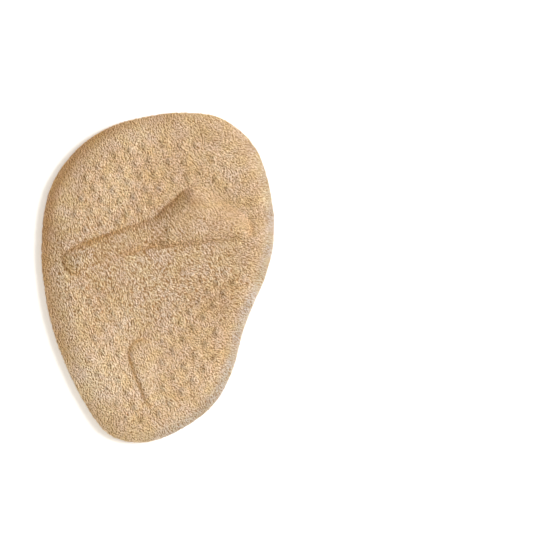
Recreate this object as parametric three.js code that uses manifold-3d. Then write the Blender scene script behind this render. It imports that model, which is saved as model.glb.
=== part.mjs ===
// A metatarsal pad: a soft cushion for the ball of the left foot, seen from above with the toes towards +Y.
// A knitted terry cover is moulded over a gel cushion and turned in under its rim, and a tacky gel sheet fills
// the window that the turned hem leaves, so that the pad stays put on a shoe's insole.
// Millimetres, +Z up. The origin is on the ground under the middle of the pad's box.
import * as THREE from "three";
import { mergeVertices } from "three/addons/utils/BufferGeometryUtils.js";
import Module from "manifold-3d";

const wasm = await Module();
wasm.setup();

// Driving dimensions
const padLength = 100;
const padWidth = 70.7;
const plainTop = 4.3; // height of the plain cloth where the rim's roll ends
const dish = 0.9; // how much lower the plain cloth lies at the pad's middle
const shoulderDrop = 1.6; // how much lower it lies at the rim on the outer side
const shoulderStart = 0.72; // share of the way out from the middle where that drop begins
const shoulderSide = 190; // degrees from +X to the middle of the drop
const rimHeight = 1.9; // height of the widest line of the rim
const rollWidth = 7.0; // from the widest line in to where the plain top begins
const rollRound = 0.2; // 1 is a round roll, 0 one that slopes evenly to the widest line
const wallAtRim = 1.6; // the cloth's width at the widest line as a share of its thickness
const undersideRound = 2.4; // from the widest line in to where the hem lies flat
const hemLift = 0.2; // the hem's underside above the ground, which the tacky sheet keeps clear
const hemWidth = 5.5; // from the widest line in to the hem's cut edge
const clothThickness = 1.0;
const gripThickness = 1.2;
const gap = 0.3; // left between pieces that lie on each other
const ridgeRise = 2.7; // of the highest ridge over the plain top
const ridgeFlank = 9.4; // width of the widest slope at a ridge's side
const nubDiameter = 3.6;
const nubHeight = 0.65;

// How finely curves are faceted
const rimSides = 60;
const ridgeSides = 28;
const nubSides = 6;
const outlineSamples = 360;

// The pad's outline, anticlockwise from its inner side. Shares of the pad's width and length.
const padOutline = [
  { x: 0.463, y: -0.001 },
  { x: 0.499, y: 0.103 },
  { x: 0.496, y: 0.218 },
  { x: 0.429, y: 0.384 },
  { x: 0.288, y: 0.478 },
  { x: 0.126, y: 0.5 },
  { x: -0.058, y: 0.487 },
  { x: -0.229, y: 0.449 },
  { x: -0.365, y: 0.377 },
  { x: -0.466, y: 0.265 },
  { x: -0.501, y: 0.103 },
  { x: -0.481, y: -0.069 },
  { x: -0.421, y: -0.223 },
  { x: -0.311, y: -0.385 },
  { x: -0.212, y: -0.474 },
  { x: -0.066, y: -0.5 },
  { x: 0.115, y: -0.455 },
  { x: 0.259, y: -0.369 },
  { x: 0.329, y: -0.269 },
  { x: 0.365, y: -0.172 },
  { x: 0.408, y: -0.09 },
];

// The raised forms under the cloth, each with its rise as a share of the highest ridge's. Their outlines run
// anticlockwise: places as shares of the pad's width and length, and the slope's width there as a share of the
// widest slope. A slope that is wider than its form never reaches the full rise.
const ridges = [
  {
    name: "arm", // from the outer side to the middle, behind the small toes
    rise: 0.81,
    outline: [
      { x: 0.04, y: 0.195, slope: 0.32 },
      { x: -0.041, y: 0.174, slope: 0.41 },
      { x: -0.109, y: 0.157, slope: 0.43 },
      { x: -0.212, y: 0.131, slope: 0.4 },
      { x: -0.323, y: 0.102, slope: 0.47 },
      { x: -0.391, y: 0.077, slope: 0.74 },
      { x: -0.405, y: 0.049, slope: 0.96 },
      { x: -0.391, y: 0.022, slope: 0.96 },
      { x: -0.348, y: 0.006, slope: 0.74 },
      { x: -0.28, y: 0.021, slope: 0.48 },
      { x: -0.182, y: 0.056, slope: 0.3 },
      { x: -0.115, y: 0.074, slope: 0.26 },
      { x: -0.068, y: 0.084, slope: 0.27 },
      { x: 0.004, y: 0.095, slope: 0.28 },
      { x: 0.08, y: 0.095, slope: 0.23 },
      { x: 0.11, y: 0.15, slope: 0.26 },
    ],
  },
  {
    name: "wing", // the broad part behind the big toe, with its peak towards the toes
    rise: 1,
    outline: [
      { x: -0.012, y: 0.165, slope: 0.48 },
      { x: 0.004, y: 0.12, slope: 0.43 },
      { x: 0.018, y: 0.096, slope: 0.28 },
      { x: 0.088, y: 0.098, slope: 0.23 },
      { x: 0.203, y: 0.107, slope: 0.26 },
      { x: 0.31, y: 0.116, slope: 0.28 },
      { x: 0.385, y: 0.122, slope: 0.34 },
      { x: 0.406, y: 0.148, slope: 0.49 },
      { x: 0.392, y: 0.172, slope: 0.77 },
      { x: 0.344, y: 0.2, slope: 0.96 },
      { x: 0.276, y: 0.23, slope: 1 },
      { x: 0.216, y: 0.266, slope: 0.87 },
      { x: 0.173, y: 0.277, slope: 0.53 },
      { x: 0.122, y: 0.267, slope: 0.53 },
      { x: 0.07, y: 0.235, slope: 0.57 },
      { x: 0.01, y: 0.198, slope: 0.51 },
    ],
  },
  {
    name: "drop", // a tear drop towards the heel, blunt end first
    rise: 0.3,
    outline: [
      { x: -0.124, y: -0.232, slope: 0.21 },
      { x: -0.102, y: -0.29, slope: 0.21 },
      { x: -0.077, y: -0.332, slope: 0.21 },
      { x: -0.053, y: -0.369, slope: 0.21 },
      { x: -0.032, y: -0.391, slope: 0.16 },
      { x: -0.011, y: -0.362, slope: 0.26 },
      { x: -0.011, y: -0.317, slope: 0.3 },
      { x: -0.011, y: -0.272, slope: 0.3 },
      { x: 0.002, y: -0.232, slope: 0.3 },
      { x: 0, y: -0.205, slope: 0.26 },
      { x: -0.032, y: -0.187, slope: 0.19 },
      { x: -0.079, y: -0.189, slope: 0.17 },
      { x: -0.113, y: -0.205, slope: 0.19 },
    ],
  },
];

// How a ridge climbs, from its foot to its flat top: shares of the slope's width and of the ridge's rise.
const ridgeSlope = [
  { inset: 0, rise: 0 },
  { inset: 0.3, rise: 0.42 },
  { inset: 0.62, rise: 0.82 },
  { inset: 1, rise: 1 },
];

// Strings of massage nubs: from and to are shares of the pad's width and length, size a share of a full nub.
const nubStrings = [
  // between the toe end and the arm
  { fromX: -0.344, fromY: 0.194, toX: -0.297, toY: 0.148, count: 2, size: 0.95 },
  { fromX: -0.314, fromY: 0.239, toX: -0.233, toY: 0.164, count: 3, size: 1 },
  { fromX: -0.297, fromY: 0.303, toX: -0.16, toY: 0.17, count: 5, size: 1 },
  { fromX: -0.246, fromY: 0.339, toX: -0.122, toY: 0.194, count: 5, size: 1 },
  { fromX: -0.177, fromY: 0.372, toX: -0.066, toY: 0.206, count: 5, size: 1 },
  { fromX: -0.113, fromY: 0.384, toX: -0.019, toY: 0.23, count: 5, size: 0.95 },
  { fromX: -0.049, fromY: 0.396, toX: 0.015, toY: 0.272, count: 4, size: 0.95 },
  { fromX: 0.032, fromY: 0.408, toX: 0.075, toY: 0.297, count: 3, size: 0.95 },
  { fromX: 0.105, fromY: 0.399, toX: 0.139, toY: 0.3, count: 3, size: 0.9 },
  { fromX: 0.169, fromY: 0.399, toX: 0.19, toY: 0.318, count: 2, size: 0.9 },
  { fromX: 0.241, fromY: 0.366, toX: 0.254, toY: 0.297, count: 2, size: 0.9 },
  { fromX: 0.293, fromY: 0.339, toX: 0.306, toY: 0.269, count: 2, size: 0.75 },
  { fromX: 0.348, fromY: 0.297, toX: 0.357, toY: 0.23, count: 2, size: 0.75 },
  // between the arm and the heel end, on the outer side
  { fromX: -0.284, fromY: -0.245, toX: -0.126, toY: -0.423, count: 5, size: 0.9 },
  { fromX: -0.361, fromY: -0.057, toX: -0.058, toY: -0.429, count: 10, size: 0.95 },
  { fromX: -0.31, fromY: -0.03, toX: -0.156, toY: -0.229, count: 6, size: 0.95 },
  { fromX: -0.241, fromY: -0.033, toX: -0.152, toY: -0.145, count: 4, size: 0.8 },
  { fromX: -0.207, fromY: 0.006, toX: -0.096, toY: -0.136, count: 5, size: 0.65 },
  { fromX: -0.143, fromY: -0.018, toX: -0.088, toY: -0.081, count: 3, size: 0.6 },
  // between the wing and the heel end, on the inner side
  { fromX: 0.015, fromY: -0.411, toX: 0.306, toY: -0.208, count: 7, size: 1 },
  { fromX: 0.032, fromY: -0.332, toX: 0.259, toY: -0.166, count: 6, size: 1 },
  { fromX: 0.032, fromY: -0.254, toX: 0.335, toY: -0.012, count: 8, size: 1 },
  { fromX: 0.028, fromY: -0.193, toX: 0.301, toY: 0.018, count: 8, size: 0.85 },
  { fromX: 0.028, fromY: -0.142, toX: 0.224, toY: 0.021, count: 7, size: 0.7 },
  { fromX: -0.011, fromY: -0.115, toX: 0.177, toY: 0.031, count: 7, size: 0.6 },
  { fromX: -0.024, fromY: -0.087, toX: 0.118, toY: 0.021, count: 5, size: 0.55 },
];

// Outlines and heights

// A slope's width rides on the curve as its height.
function closedCurve(rows) {
  const points = rows.map(({ x, y, slope = 0 }) => new THREE.Vector3(x * padWidth, y * padLength, slope * ridgeFlank));
  return new THREE.CatmullRomCurve3(points, true, "centripetal");
}

// Evenly spaced points of a closed curve that runs anticlockwise, each with its direction inwards and its slope.
function sampleOutline(curve, count) {
  const samples = [];
  for (let i = 0; i < count; i += 1) {
    const point = curve.getPointAt(i / count);
    const along = curve.getTangentAt(i / count);
    const inward = new THREE.Vector3(-along.y, along.x, 0).normalize();
    samples.push({ slope: point.z, point: point.setZ(0), inward });
  }
  return samples;
}

function insetRing(samples, inset) {
  return samples.map(({ point, inward }) => point.clone().addScaledVector(inward, inset));
}

// Shifts and stretches an outline so that its curve fills the pad's width and length exactly.
function filled(rows) {
  const box = new THREE.Box3().setFromPoints(closedCurve(rows).getPoints(outlineSamples));
  const size = box.getSize(new THREE.Vector3());
  const middle = box.getCenter(new THREE.Vector3());
  return rows.map(({ x, y }) => ({
    x: (x * padWidth - middle.x) / size.x,
    y: (y * padLength - middle.y) / size.y,
  }));
}

const rimCurve = closedCurve(filled(padOutline));
const rimSamples = sampleOutline(rimCurve, rimSides);
const nearbyRim = insetRing(sampleOutline(rimCurve, outlineSamples), 0);

// At each sample, the radius of the largest circle that touches the outline there and stays inside it.
function roomInside(samples) {
  return samples.map(({ point, inward }) => {
    const radii = samples.map((other) => {
      const across = other.point.clone().sub(point);
      const depth = across.dot(inward);
      return depth > 1e-3 ? across.lengthSq() / (2 * depth) : Infinity;
    });
    return Math.min(...radii);
  });
}

function distanceToRim(x, y) {
  return Math.min(...nearbyRim.map((point) => Math.hypot(point.x - x, point.y - y)));
}

function plainHeight(x, y) {
  const spread = (2 * x / padWidth) ** 2 + (2 * y / padLength) ** 2;
  const turn = Math.atan2(y / padLength, x / padWidth) - THREE.MathUtils.degToRad(shoulderSide);
  const edge = THREE.MathUtils.smoothstep(Math.sqrt(spread), shoulderStart, 1);
  return plainTop - dish * (1 - spread) - shoulderDrop * edge * Math.max(0, Math.cos(turn));
}

// Height of the cloth's top, or of a surface that lies deep under it, where the rim is inset away.
function surfaceHeight(x, y, inset, deep) {
  const widest = deep * wallAtRim;
  const across = Math.max(0, rollWidth - Math.max(inset, widest)) / (rollWidth - widest);
  const climb = 1 - across ** 2;
  const lift = rollRound * Math.sqrt(climb) + (1 - rollRound) * climb;
  return rimHeight + (plainHeight(x, y) - deep - rimHeight) * lift;
}

// A ridge's share of its rise at a share of its slope's width.
function climbAt(share) {
  const next = Math.max(1, ridgeSlope.findIndex(({ inset }) => inset >= share));
  const low = ridgeSlope[next - 1];
  const high = ridgeSlope[next];
  return THREE.MathUtils.mapLinear(share, low.inset, high.inset, low.rise, high.rise);
}

// Solids

function solidOf(positions, indices) {
  return new wasm.Manifold(
    new wasm.Mesh({
      numProp: 3,
      vertProperties: new Float32Array(positions),
      triVerts: new Uint32Array(indices),
    }),
  );
}

// Joins rings of equally many points, lowest first, and closes the first and last with a flat cap.
function loft(rings) {
  const count = rings[0].length;
  const positions = rings.flatMap((ring) => ring.flatMap((point) => point.toArray()));
  const indices = [];
  for (let level = 1; level < rings.length; level += 1) {
    for (let i = 0; i < count; i += 1) {
      const next = (i + 1) % count;
      const low = (level - 1) * count;
      const high = level * count;
      indices.push(low + i, low + next, high + next);
      indices.push(low + i, high + next, high + i);
    }
  }
  const capOf = (ring) => THREE.ShapeUtils.triangulateShape(ring.map(({ x, y }) => new THREE.Vector2(x, y)), []);
  const top = (rings.length - 1) * count;
  capOf(rings[0]).forEach(([a, b, c]) => indices.push(c, b, a));
  capOf(rings.at(-1)).forEach(([a, b, c]) => indices.push(top + a, top + b, top + c));
  return solidOf(positions, indices);
}

// An upright prism over an outline.
function prism(ring, low, high) {
  const shape = new THREE.Shape(ring.map(({ x, y }) => new THREE.Vector2(x, y)));
  const geometry = new THREE.ExtrudeGeometry(shape, { depth: high - low, bevelEnabled: false });
  geometry.translate(0, 0, low);
  geometry.deleteAttribute("normal");
  geometry.deleteAttribute("uv");
  const merged = mergeVertices(geometry, 1e-4);
  return solidOf(merged.attributes.position.array, merged.index.array);
}

// The pad without its ridges, deep under the outside of the cloth: a flat underside, a rolled rim and a dished top.
function padBody(deep, steps) {
  const underside = hemLift + deep;
  const widest = deep * wallAtRim;
  const rings = [];
  for (let i = 0; i < steps.under; i += 1) {
    const turn = (Math.PI / 2) * (i / steps.under);
    const inset = undersideRound - (undersideRound - widest) * Math.sin(turn);
    const z = rimHeight - (rimHeight - underside) * Math.cos(turn);
    rings.push(insetRing(rimSamples, inset).map((point) => point.setZ(z)));
  }
  for (let i = 0; i <= steps.roll; i += 1) {
    const turn = (Math.PI / 2) * (i / steps.roll);
    const inset = rollWidth - (rollWidth - widest) * Math.cos(turn);
    const ring = insetRing(rimSamples, inset);
    rings.push(ring.map((point) => point.setZ(surfaceHeight(point.x, point.y, inset, deep))));
  }
  const plainEdge = rings.at(-1);
  for (let i = steps.crown - 1; i > 0; i -= 1) {
    const ring = plainEdge.map((point) => point.clone().multiplyScalar(i / steps.crown));
    rings.push(ring.map((point) => point.setZ(plainHeight(point.x, point.y) - deep)));
  }
  return loft(rings);
}

// A ridge that stands on the body, deep under the outside of the cloth, with its foot sunk into the body.
function ridgeDome({ rise, outline }, deep) {
  const samples = sampleOutline(closedCurve(outline), ridgeSides);
  const rooms = roomInside(samples).map((radius) => radius * 0.85);
  const ringAt = (share) =>
    samples.map(({ point, inward, slope }, i) => {
      const start = Math.min(deep / 2, rooms[i] * 0.4);
      const width = Math.min(slope, rooms[i] - start);
      const moved = point.clone().addScaledVector(inward, start + share * width);
      const ground = surfaceHeight(moved.x, moved.y, distanceToRim(moved.x, moved.y), deep);
      return moved.setZ(ground + rise * ridgeRise * climbAt(share * width / slope));
    });
  const foot = ringAt(0).map((point) => point.setZ(rimHeight));
  const slopes = ridgeSlope.map((step) => ringAt(step.inset));
  return loft([foot, ...slopes]);
}

function padForm(deep, steps) {
  const domes = ridges.map((ridge) => ridgeDome(ridge, deep));
  return domes.reduce((form, dome) => form.add(dome), padBody(deep, steps));
}

// A low dome with its foot sunk into the cloth.
function nub(x, y, size) {
  const ground = surfaceHeight(x, y, distanceToRim(x, y), 0);
  const radius = (size * nubDiameter) / 2;
  const profile = [
    { radius: radius * 1.2, z: ground - nubHeight * 0.6 },
    { radius: radius * 0.5, z: ground + size * nubHeight },
  ];
  const rings = profile.map((step) => {
    const ring = [];
    for (let i = 0; i < nubSides; i += 1) {
      const turn = (2 * Math.PI * i) / nubSides;
      ring.push(new THREE.Vector3(x + step.radius * Math.cos(turn), y + step.radius * Math.sin(turn), step.z));
    }
    return ring;
  });
  return loft(rings);
}

function nubsOf({ fromX, fromY, toX, toY, count, size }) {
  const nubs = [];
  for (let i = 0; i < count; i += 1) {
    const share = i / (count - 1);
    const x = THREE.MathUtils.lerp(fromX, toX, share) * padWidth;
    const y = THREE.MathUtils.lerp(fromY, toY, share) * padLength;
    nubs.push(nub(x, y, size));
  }
  return nubs;
}

// Pieces

function clothCover() {
  const outside = padForm(0, { under: 3, roll: 6, crown: 4 });
  const nubs = nubStrings.flatMap(nubsOf);
  const cavity = padForm(clothThickness, { under: 1, roll: 3, crown: 2 });
  const window = prism(insetRing(rimSamples, hemWidth), 0, rimHeight);
  return wasm.Manifold.union([outside, ...nubs]).subtract(cavity).subtract(window);
}

function gelCushion() {
  return padForm(clothThickness + gap, { under: 1, roll: 3, crown: 2 });
}

function gripSheet() {
  return prism(insetRing(rimSamples, hemWidth + gap), 0, gripThickness);
}

// The assembly

function meshOf(name, solid, material) {
  const { numProp, vertProperties, triVerts } = solid.getMesh();
  const geometry = new THREE.BufferGeometry();
  geometry.setAttribute("position", new THREE.BufferAttribute(vertProperties, numProp));
  geometry.setIndex(new THREE.BufferAttribute(triVerts, 1));
  geometry.computeVertexNormals();
  const mesh = new THREE.Mesh(geometry, material);
  mesh.name = name;
  return mesh;
}

const terryCloth = new THREE.MeshStandardMaterial({ color: "#c9aa86", roughness: 0.95, metalness: 0 });
const softGel = new THREE.MeshStandardMaterial({ color: "#e6d6bd", roughness: 0.5, metalness: 0 });
const tackyGel = new THREE.MeshStandardMaterial({ color: "#efe6d6", roughness: 0.35, metalness: 0 });

const pad = new THREE.Group();
pad.add(
  meshOf("cloth_cover", clothCover(), terryCloth),
  meshOf("gel_cushion", gelCushion(), softGel),
  meshOf("grip_sheet", gripSheet(), tackyGel),
);

export default pad;
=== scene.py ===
# A metatarsal pad for a left foot: looped terry cloth moulded over a gel cushion, with a tacky gel sheet
# underneath. It lies on a white table with its toes towards +Y and is seen from straight above.
import math

import bpy
import numpy as np
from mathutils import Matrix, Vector


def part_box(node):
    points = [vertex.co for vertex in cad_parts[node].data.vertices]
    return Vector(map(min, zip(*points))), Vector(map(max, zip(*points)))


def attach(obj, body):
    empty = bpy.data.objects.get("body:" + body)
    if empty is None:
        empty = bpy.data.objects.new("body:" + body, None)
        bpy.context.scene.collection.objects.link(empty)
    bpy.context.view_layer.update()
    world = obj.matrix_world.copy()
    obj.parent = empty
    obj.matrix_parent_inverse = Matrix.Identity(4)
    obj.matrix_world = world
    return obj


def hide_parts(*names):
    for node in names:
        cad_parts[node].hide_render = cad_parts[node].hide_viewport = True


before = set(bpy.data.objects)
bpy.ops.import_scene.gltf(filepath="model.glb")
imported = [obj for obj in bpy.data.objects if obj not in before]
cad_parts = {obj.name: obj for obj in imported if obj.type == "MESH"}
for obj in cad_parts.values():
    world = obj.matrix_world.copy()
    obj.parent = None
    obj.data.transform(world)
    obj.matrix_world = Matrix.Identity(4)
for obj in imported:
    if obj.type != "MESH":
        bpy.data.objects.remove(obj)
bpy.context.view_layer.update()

mm = 0.001
coverLow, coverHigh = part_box("cloth_cover")
gripLow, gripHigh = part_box("grip_sheet")
padSize = np.array([coverHigh.x - coverLow.x, coverHigh.y - coverLow.y])
print("pad: frame loaded")

# What the camera sees

shot = {
    "pixelsPerMm": 3.32,
    "imageSize": 551,
    "padMiddle": (157.5, 277.6),  # pixel of the photograph over the pad's middle
    "height": 1.2,  # of the camera over the table
    "sensor": 36 * mm,
    "farthest": 10,  # that the camera sees, in metres
}

light = {
    "keyIrradiance": 4.5, "keyDirection": (1.0, 0.2), "keyElevation": 34, "keySize": 1.6, "keyDistance": 2.5,
    "keyColor": (0.96, 0.98, 1.0), "skyStrength": 0.65, "skyColor": (1.0, 0.91, 0.78),
}

tableTop = {
    "size": 4, "color": (0.95, 0.95, 0.95), "roughness": 0.9, "glow": 0.25,
    "gap": 0.05 * mm,  # the table lies this far under the tacky sheet
}


def addObject(name, data):
    made = bpy.data.objects.new(name, data)
    bpy.context.scene.collection.objects.link(made)
    return made


def makeCamera():
    data = bpy.data.cameras.new("camera")
    camera = addObject("camera", data)
    span = shot["imageSize"] / shot["pixelsPerMm"] * mm
    data.sensor_width = shot["sensor"] / mm
    data.lens = shot["sensor"] * (shot["height"] - coverHigh.z) / span / mm
    data.clip_end = shot["farthest"]
    middle = shot["imageSize"] / 2
    right = (middle - shot["padMiddle"][0]) / shot["pixelsPerMm"] * mm
    up = (shot["padMiddle"][1] - middle) / shot["pixelsPerMm"] * mm
    camera.location = (right, up, shot["height"])
    bpy.context.scene.camera = camera


def makeLight(name, irradiance, size, color, direction, elevation, distance):
    data = bpy.data.lights.new(name, "AREA")
    data.shape = "DISK"
    data.size = size
    data.energy = irradiance * math.pi * distance**2
    data.color = color
    lamp = addObject(name, data)
    flat = Vector((direction[0], direction[1], 0)).normalized()
    rise = math.radians(elevation)
    toLamp = flat * math.cos(rise) + Vector((0, 0, math.sin(rise)))
    lamp.location = toLamp * distance
    lamp.rotation_euler = toLamp.to_track_quat("Z", "Y").to_euler()


def makeStudio():
    bpy.context.scene.view_settings.view_transform = "Standard"
    world = bpy.data.worlds.new("studio")
    world.use_nodes = True
    background = world.node_tree.nodes["Background"]
    background.inputs["Color"].default_value = (*light["skyColor"], 1)
    background.inputs["Strength"].default_value = light["skyStrength"]
    bpy.context.scene.world = world
    makeLight("keyLight", light["keyIrradiance"], light["keySize"], light["keyColor"],
              light["keyDirection"], light["keyElevation"], light["keyDistance"])


def makeTable():
    bpy.ops.mesh.primitive_plane_add(size=tableTop["size"])
    table = bpy.context.object
    table.name = "table"
    table.location.z = -tableTop["gap"]
    material = bpy.data.materials.new("whiteTable")
    material.use_nodes = True
    shader = material.node_tree.nodes["Principled BSDF"]
    shader.inputs["Base Color"].default_value = (*tableTop["color"], 1)
    shader.inputs["Roughness"].default_value = tableTop["roughness"]
    shader.inputs["Emission Color"].default_value = (1.0, 1.0, 1.0, 1)
    shader.inputs["Emission Strength"].default_value = tableTop["glow"]
    table.data.materials.append(material)


makeCamera()
makeStudio()
makeTable()
print("pad: camera, lights and table made")

# The pad's form. Places are shares of the pad's width and length, from its middle.

body = {
    "plainTop": 4.3 * mm, "dish": 0.9 * mm, "rimHeight": 1.9 * mm, "rollWidth": 7.0 * mm, "rollRound": 0.08,
    "shoulderDrop": 1.6 * mm, "shoulderStart": 0.72,
    "shoulderSide": math.radians(190),  # the little toe's side
    "undersideRound": 2.4 * mm, "hemLift": coverLow.z, "hemWidth": 5.5 * mm,
    "clothThickness": 1.0 * mm, "gap": 0.3 * mm,
    "wallAtRim": 1.6,  # the inner faces lie this many times deeper at the rim's widest line
    "pileDepth": 0.3 * mm,  # how far the loops' crowns stand out of the ground knit
}

padOutline = [
    (0.463, -0.001), (0.499, 0.103), (0.496, 0.218), (0.429, 0.384), (0.288, 0.478), (0.126, 0.500),
    (-0.058, 0.487), (-0.229, 0.449), (-0.365, 0.377), (-0.466, 0.265), (-0.501, 0.103), (-0.481, -0.069),
    (-0.421, -0.223), (-0.311, -0.385), (-0.212, -0.474), (-0.066, -0.500), (0.115, -0.455), (0.259, -0.369),
    (0.329, -0.269), (0.365, -0.172), (0.408, -0.090),
]

# Raised forms: rows of x, y, the width of the slope there, the depth of the crease at its foot, both in
# millimetres, and how crisp the foot is. A slope wider than its form never reaches the full rise.
# Each form's tone sets how dark the painted shade in and beside its creases is, and paintedShadeWidth how far
# that shade reaches into the form.
ridges = {
    "arm": {"rise": 2.2 * mm, "tone": 1.5, "paintedShadeWidth": 3.0 * mm, "outline": [
        (0.040, 0.195, 3.0, 0.0, 1), (-0.041, 0.174, 3.9, 0.3, 0.9), (-0.109, 0.157, 4.0, 0.4, 0.9),
        (-0.212, 0.131, 3.8, 0.6, 1), (-0.323, 0.102, 4.4, 0.65, 1), (-0.391, 0.077, 7.0, 0.4, 1),
        (-0.405, 0.049, 9.0, 0.45, 1), (-0.391, 0.022, 8.0, 0.45, 0.7), (-0.348, 0.006, 6.0, 0.35, 0.3),
        (-0.280, 0.021, 4.5, 0.0, 0), (-0.182, 0.056, 2.8, 0.15, 0.4), (-0.115, 0.074, 2.4, 0.45, 0.8),
        (-0.068, 0.084, 2.5, 0.5, 0.8), (0.004, 0.095, 2.6, 0.45, 0.8), (0.080, 0.095, 2.2, 0.0, 0),
        (0.110, 0.150, 2.4, 0.0, 0),
    ]},
    "wing": {"rise": 2.7 * mm, "tone": 1.6, "paintedShadeWidth": 3.0 * mm, "outline": [
        (-0.012, 0.165, 4.5, 0.0, 0.8), (0.004, 0.120, 4.0, 0.0, 0.8), (0.018, 0.096, 2.6, 0.4, 0.8),
        (0.088, 0.098, 2.3, 0.35, 0.9), (0.203, 0.107, 2.4, 0.25, 0.8), (0.310, 0.116, 2.6, 0.15, 0.8),
        (0.385, 0.122, 3.2, 0.15, 0.6), (0.406, 0.148, 4.6, 0.25, 0.2), (0.392, 0.172, 7.2, 0.2, 0.2),
        (0.344, 0.200, 9.0, 0.15, 0.2), (0.276, 0.230, 9.4, 0.15, 0.2), (0.216, 0.266, 8.2, 0.1, 0.2),
        (0.173, 0.277, 5.0, 0.1, 0.4), (0.122, 0.267, 5.0, 0.3, 0.6), (0.070, 0.235, 5.4, 0.45, 0.6),
        (0.010, 0.198, 4.8, 0.45, 0.7),
    ]},
    "drop": {"rise": 0.7 * mm, "tone": 7.5, "paintedShadeWidth": 1.2 * mm, "outline": [
        (-0.124, -0.232, 2.0, 0.12, 1), (-0.102, -0.290, 2.0, 0.12, 1), (-0.077, -0.332, 2.0, 0.12, 1),
        (-0.053, -0.369, 2.0, 0.1, 1), (-0.032, -0.391, 1.5, 0.1, 0.5), (-0.011, -0.362, 2.4, 0.0, 0),
        (-0.011, -0.317, 2.8, 0.0, 0), (-0.011, -0.272, 2.8, 0.0, 0), (0.002, -0.232, 2.8, 0.0, 0),
        (0.000, -0.205, 2.4, 0.0, 0), (-0.032, -0.187, 1.8, 0.0, 0.3), (-0.079, -0.189, 1.6, 0.1, 0.5),
        (-0.113, -0.205, 1.8, 0.1, 1),
    ]},
}
ridgeSteps = 220  # points round each raised form
ridgeFoot = 0.4 * mm  # how far the cloth bridges the hollow at a slope's foot
creaseWidth = 1.1 * mm
creaseShade = 0.7  # share of the crease's width that its painted shade takes outside the raised form

# Shallow hollows: rows of x, y, radius in millimetres and depth in millimetres
hollows = [
    (0.26, 0.262, 2.6, 0.2), (0.31, 0.245, 3.0, 0.25), (0.37, 0.215, 3.0, 0.25), (0.058, 0.484, 1.4, 0.5),
]

nubs = {
    "diameter": 3.8 * mm, "height": 0.77 * mm,
    "footWidth": 0.5,  # of the painted shade on each side of a nub's foot, as a share of its radius
    # A painted highlight on the nubs' tops and painted shade round their feet, as shares
    "paintedTopHighlight": 0.08, "paintedFootShade": 0.25,
}

# Strings of nubs: rows of from x, from y, to x, to y, count and share of a full nub's size
nubStrings = [
    (-0.344, 0.194, -0.297, 0.148, 2, 0.95),
    (-0.314, 0.239, -0.233, 0.164, 3, 1),
    (-0.297, 0.303, -0.160, 0.170, 5, 1),
    (-0.246, 0.339, -0.122, 0.194, 5, 1),
    (-0.177, 0.372, -0.066, 0.206, 5, 1),
    (-0.113, 0.384, -0.019, 0.230, 5, 0.95),
    (-0.049, 0.396, 0.015, 0.272, 4, 0.95),
    (0.032, 0.408, 0.075, 0.297, 3, 0.95),
    (0.105, 0.399, 0.139, 0.300, 3, 0.9),
    (0.169, 0.399, 0.190, 0.318, 2, 0.9),
    (0.241, 0.366, 0.254, 0.297, 2, 0.9),
    (0.293, 0.339, 0.306, 0.269, 2, 0.75),
    (0.348, 0.297, 0.357, 0.230, 2, 0.75),
    (-0.284, -0.245, -0.126, -0.423, 5, 0.9),
    (-0.361, -0.057, -0.058, -0.429, 10, 0.95),
    (-0.310, -0.030, -0.156, -0.229, 6, 0.95),
    (-0.241, -0.033, -0.152, -0.145, 4, 0.8),
    (-0.207, 0.006, -0.096, -0.136, 5, 0.65),
    (-0.143, -0.018, -0.088, -0.081, 3, 0.6),
    (0.015, -0.411, 0.306, -0.208, 7, 1),
    (0.032, -0.332, 0.259, -0.166, 6, 1),
    (0.032, -0.254, 0.335, -0.012, 8, 1),
    (0.028, -0.193, 0.301, 0.018, 8, 0.85),
    (0.028, -0.142, 0.224, 0.021, 7, 0.7),
    (-0.011, -0.115, 0.177, 0.031, 7, 0.6),
    (-0.024, -0.087, 0.118, 0.021, 5, 0.55),
]


def smoothStep(share):
    share = np.clip(share, 0, 1)
    return share * share * (3 - 2 * share)


def spotFades(points, spots):
    # One row for each spot: its amount at every point, which fades out towards the spot's radius
    fades = []
    for x, y, radius, amount in spots:
        away = np.linalg.norm(points - np.array([x, y]) * padSize, axis=1) / (radius * mm)
        fades.append(amount * (1 - smoothStep(away)))
    return fades


def closedSpline(rows, count):
    # Centripetal Catmull-Rom through the rows, resampled at even steps. Extra columns ride along.
    spanSteps = 48  # points worked out between two rows
    here = np.array(rows, dtype=float)
    before, after, beyond = np.roll(here, 1, 0), np.roll(here, -1, 0), np.roll(here, -2, 0)

    def rootLength(start, end):
        return np.sqrt(np.linalg.norm((end - start)[:, :2], axis=1))[:, None]

    last, this, coming = rootLength(before, here), rootLength(here, after), rootLength(after, beyond)
    leave = ((here - before) / last - (after - before) / (last + this) + (after - here) / this) * this
    arrive = ((after - here) / this - (beyond - here) / (this + coming) + (beyond - after) / coming) * this
    u = np.linspace(0, 1, spanSteps, endpoint=False)[None, :, None]
    curve = (here[:, None] * (2 * u**3 - 3 * u**2 + 1) + leave[:, None] * (u**3 - 2 * u**2 + u)
             + after[:, None] * (3 * u**2 - 2 * u**3) + arrive[:, None] * (u**3 - u**2))
    curve = curve.reshape(-1, here.shape[1])
    closed = np.vstack([curve, curve[:1]])
    run = np.concatenate([[0], np.cumsum(np.linalg.norm(np.diff(closed[:, :2], axis=0), axis=1))])
    at = np.linspace(0, run[-1], count, endpoint=False)
    return np.column_stack([np.interp(at, run, column) for column in closed.T])


def inwardOf(ring):
    along = np.roll(ring, -1, 0) - np.roll(ring, 1, 0)
    along /= np.linalg.norm(along, axis=1)[:, None]
    return np.column_stack([-along[:, 1], along[:, 0]])


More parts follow.
